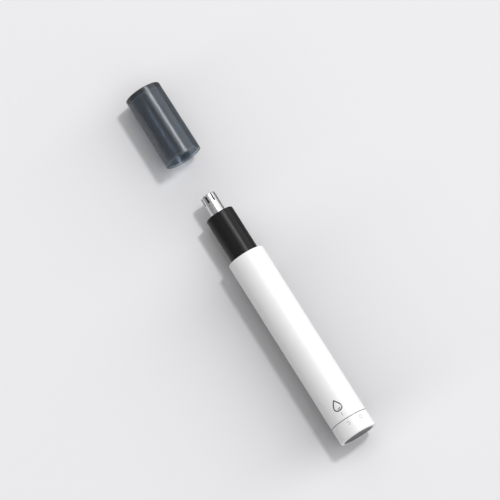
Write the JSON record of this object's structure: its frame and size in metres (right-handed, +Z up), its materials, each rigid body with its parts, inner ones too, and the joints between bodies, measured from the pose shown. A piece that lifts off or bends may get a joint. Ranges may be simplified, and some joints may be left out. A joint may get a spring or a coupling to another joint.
{
  "type": "nose hair trimmer",
  "caption": "Slim round battery trimmer for nose hair: slotted rotary cutter, dark neck, white handle, turning end knob and a smoked clear cap.",
  "frame": {"origin": "on the surface that the trimmer lies on, under the middle of the trimmer with its cap laid off in line in front of it", "axes": "+X along the trimmer from the end knob to the cutter and the cap, +Z up; the trimmer's axis is 9 mm above the surface"},
  "size_m": [0.1864, 0.018, 0.018],
  "materials": {
    "white_plastic": "fine satin, white",
    "grey_plastic": "satin, dark grey",
    "black_plastic": "semi-gloss, black",
    "smoked_clear_plastic": "polished, see-through, smoked blue-grey",
    "cutter_steel": "fine turned stainless",
    "blade_steel": "ground stainless",
    "carrier_plastic": "moulded, dark",
    "drive_plastic": "moulded, natural",
    "contact_metal": "nickel plate",
    "spring_steel": "bright drawn steel",
    "motor_steel": "plated pressed steel",
    "magnet": "sintered, dark grey",
    "copper": "enamelled copper",
    "bronze": "sintered bronze",
    "seal_rubber": "matt black",
    "wire_sleeve": "flexible sleeve",
    "cell_sleeve": "plain shrink sleeve over a metal can"
  },
  "bodies": {
    "handle": {"body_tube": "white_plastic", "negative_strip": "contact_metal", "motor_carrier": "carrier_plastic", "contact_holder": "carrier_plastic", "carrier_screws": "spring_steel", "positive_contact": "contact_metal", "motor_can": "motor_steel", "motor_bushing": "bronze", "motor_magnets": "magnet", "motor_end_cap": "drive_plastic", "motor_terminals": "contact_metal", "motor_brushes": "copper", "shaft_seal": "seal_rubber", "lead_wire": "wire_sleeve"},
    "rotor": {"motor_shaft": "spring_steel", "armature_core": "motor_steel", "armature_windings": "copper", "commutator": "copper", "drive_coupler": "drive_plastic"},
    "head": {"neck_sleeve": "black_plastic", "neck_seal": "seal_rubber", "cutter_holder": "carrier_plastic", "spindle_bushings": "bronze", "outer_cutter": "cutter_steel"},
    "cutter": {"drive_spindle": "drive_plastic", "cutter_spring": "spring_steel", "inner_cutter": "blade_steel"},
    "cap": {"cap": "smoked_clear_plastic"},
    "battery": {"battery_cell": "cell_sleeve", "battery_terminals": "contact_metal"},
    "tail": {"spring_carrier": "carrier_plastic", "spring_seat": "contact_metal", "contact_spring": "spring_steel"},
    "knob": {"knob": "white_plastic", "switch_wiper": "contact_metal", "knob_seal": "seal_rubber", "rear_disc": "grey_plastic"}
  },
  "joints": [
    {"name": "motor_spin", "type": "hinge", "parent": "handle", "child": "rotor", "pos_m": [-0.01695, 0, 0.009], "axis": [1, 0, 0], "continuous": true},
    {"name": "head_slide", "type": "slide", "parent": "handle", "child": "head", "axis": [1, 0, 0], "range_m": [0, 0.02]},
    {"name": "cutter_spin", "type": "hinge", "parent": "head", "child": "cutter", "pos_m": [0.02305, 0, 0.009], "axis": [1, 0, 0], "continuous": true},
    {"name": "cap_slide", "type": "slide", "parent": "head", "child": "cap", "axis": [1, 0, 0], "range_m": [-0.0538, 0]},
    {"name": "tail_slide", "type": "slide", "parent": "handle", "child": "tail", "axis": [-1, 0, 0], "range_m": [0, 0.07]},
    {"name": "battery_slide", "type": "slide", "parent": "handle", "child": "battery", "axis": [-1, 0, 0], "range_m": [0, 0.056]},
    {"name": "knob_turn", "type": "hinge", "parent": "tail", "child": "knob", "pos_m": [-0.08895, 0, 0.009], "axis": [-1, 0, 0], "range_deg": [0, 44]}
  ],
  "couplings": [
    {"joint": "cutter_spin", "follows": "motor_spin", "ratio": 1},
    {"joint": "battery_slide", "follows": "tail_slide", "ratio": 0.8}
  ]
}
